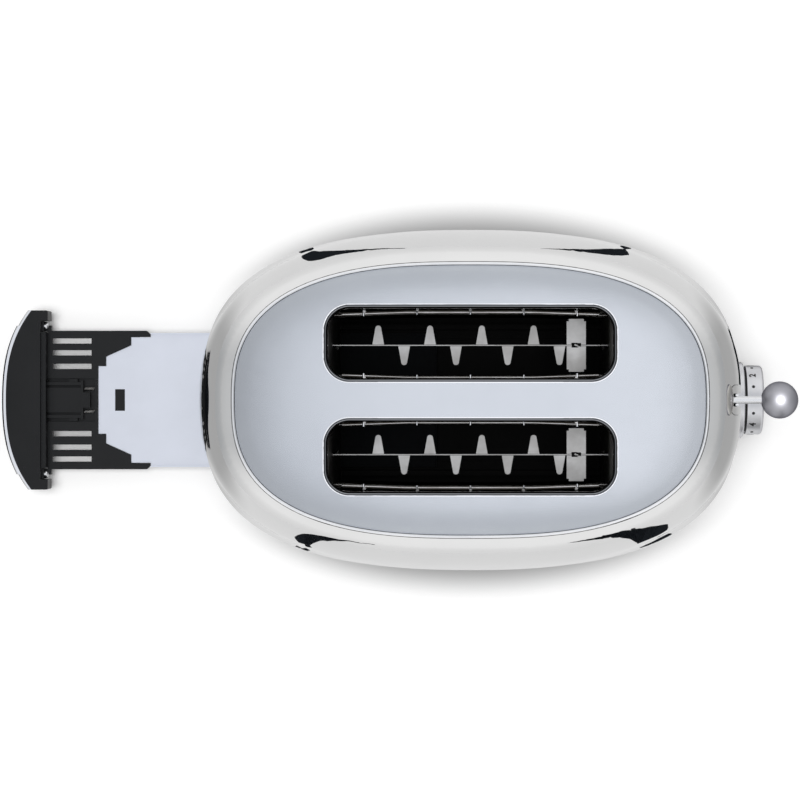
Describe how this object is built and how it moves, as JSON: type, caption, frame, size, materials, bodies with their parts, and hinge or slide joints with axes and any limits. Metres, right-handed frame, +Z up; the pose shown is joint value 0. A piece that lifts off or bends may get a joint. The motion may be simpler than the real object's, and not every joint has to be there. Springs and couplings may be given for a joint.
{
  "type": "two-slot toaster",
  "caption": "Oval two-slot toaster with a polished shell, satin top plate, end lever with a ball, turning browning dial, push buttons and a pull-out crumb drawer.",
  "frame": {"origin": "on the standing surface, under the middle of the body and of its four feet", "axes": "+X towards the lever and dial, with the crumb drawer drawn out along -X; +Y across the two slots; +Z up"},
  "size_m": [0.451, 0.195, 0.1967],
  "materials": {
    "polished_steel": "mirror polished stainless sheet",
    "satin_steel": "satin stainless sheet",
    "bright_chrome": "bright chrome",
    "satin_chrome": "satin chrome",
    "bright_wire": "bright steel wire",
    "rack_sheet": "plain steel sheet",
    "tray_sheet": "plain aluminium sheet",
    "chassis_sheet": "dulled galvanised sheet",
    "reflector_sheet": "aluminised sheet",
    "mica": "mica board",
    "ribbon": "heating ribbon",
    "black_plastic": "fine-grained black moulding",
    "black_gap": "matt black",
    "rubber": "matt rubber",
    "circuit_board": "solder resist",
    "component": "moulded component",
    "magnet_winding": "enamelled copper winding",
    "plain_steel": "plain steel"
  },
  "bodies": {
    "housing": {"outer_shell": "polished_steel", "rim_ring": "bright_chrome", "top_plate": "satin_steel", "base_pan": "black_plastic", "end_plate_drawer_side": "chassis_sheet", "end_plate_lever_side": "chassis_sheet", "deck_drawer_side": "chassis_sheet", "deck_lever_side": "chassis_sheet", "lever_bezel": "bright_chrome", "knob_collar": "satin_chrome", "knob_seal": "black_gap", "tact_switches": "component", "cord_inlet": "rubber", "terminal_block": "component", "mains_switch": "component", "control_board": "circuit_board", "browning_potentiometer": "component", "guide_rod": "plain_steel", "return_spring": "plain_steel", "magnet_coil": "magnet_winding", "magnet_core": "plain_steel", "base_screws": "plain_steel", "reflector_low_y": "reflector_sheet", "reflector_high_y": "reflector_sheet", "heater_ribbons_low_y": "ribbon", "heater_ribbons_high_y": "ribbon", "rubber_foot_1": "rubber", "rubber_foot_2": "rubber", "rubber_foot_3": "rubber", "rubber_foot_4": "rubber", "heater_board_1": "mica", "heater_board_2": "mica", "heater_board_3": "mica", "heater_board_4": "mica", "bread_guard_1": "bright_wire", "bread_guard_2": "bright_wire", "bread_guard_3": "bright_wire", "bread_guard_4": "bright_wire"},
    "lever_carriage": {"carriage_bracket": "rack_sheet", "bread_rack_low_y": "rack_sheet", "bread_rack_high_y": "rack_sheet", "lever_rod": "bright_chrome", "lever_ball": "satin_chrome", "armature": "plain_steel"},
    "browning_dial": {"control_knob": "satin_chrome", "knob_shaft": "plain_steel"},
    "crumb_drawer": {"crumb_tray": "tray_sheet", "tray_carrier": "black_plastic", "tray_front": "black_plastic", "tray_front_trim": "bright_chrome", "tray_screws": "bright_chrome", "latch_springs": "plain_steel"},
    "drawer_latch": {"latch_slider": "black_plastic", "latch_cover": "black_plastic"},
    "button_1": {"push_button_1": "satin_chrome"},
    "button_2": {"push_button_2": "satin_chrome"},
    "button_3": {"push_button_3": "satin_chrome"},
    "button_4": {"push_button_4": "satin_chrome"}
  },
  "joints": [
    {"name": "lever_slide", "type": "slide", "parent": "housing", "child": "lever_carriage", "axis": [0, 0, -1], "range_m": [0, 0.06], "stiffness_N_per_m": 80, "springref_m": -0.06, "deforming": ["return_spring"]},
    {"name": "dial_turn", "type": "hinge", "parent": "housing", "child": "browning_dial", "pos_m": [0.16, 0, 0.056], "axis": [1, 0, 0], "range_deg": [-135, 90]},
    {"name": "drawer_slide", "type": "slide", "parent": "housing", "child": "crumb_drawer", "axis": [1, 0, 0], "range_m": [-0.03, 0.12]},
    {"name": "latch_slide", "type": "slide", "parent": "crumb_drawer", "child": "drawer_latch", "axis": [1, 0, 0], "range_m": [0, 0.0015], "stiffness_N_per_m": 400, "springref_m": -0.0015, "deforming": ["latch_springs"]},
    {"name": "button_1_press", "type": "slide", "parent": "housing", "child": "button_1", "axis": [-1, 0, 0], "range_m": [0, 0.0015], "stiffness_N_per_m": 400, "springref_m": -0.002},
    {"name": "button_2_press", "type": "slide", "parent": "housing", "child": "button_2", "axis": [-1, 0, 0], "range_m": [0, 0.0015], "stiffness_N_per_m": 400, "springref_m": -0.002},
    {"name": "button_3_press", "type": "slide", "parent": "housing", "child": "button_3", "axis": [-1, 0, 0], "range_m": [0, 0.0015], "stiffness_N_per_m": 400, "springref_m": -0.002},
    {"name": "button_4_press", "type": "slide", "parent": "housing", "child": "button_4", "axis": [-1, 0, 0], "range_m": [0, 0.0015], "stiffness_N_per_m": 400, "springref_m": -0.002}
  ]
}
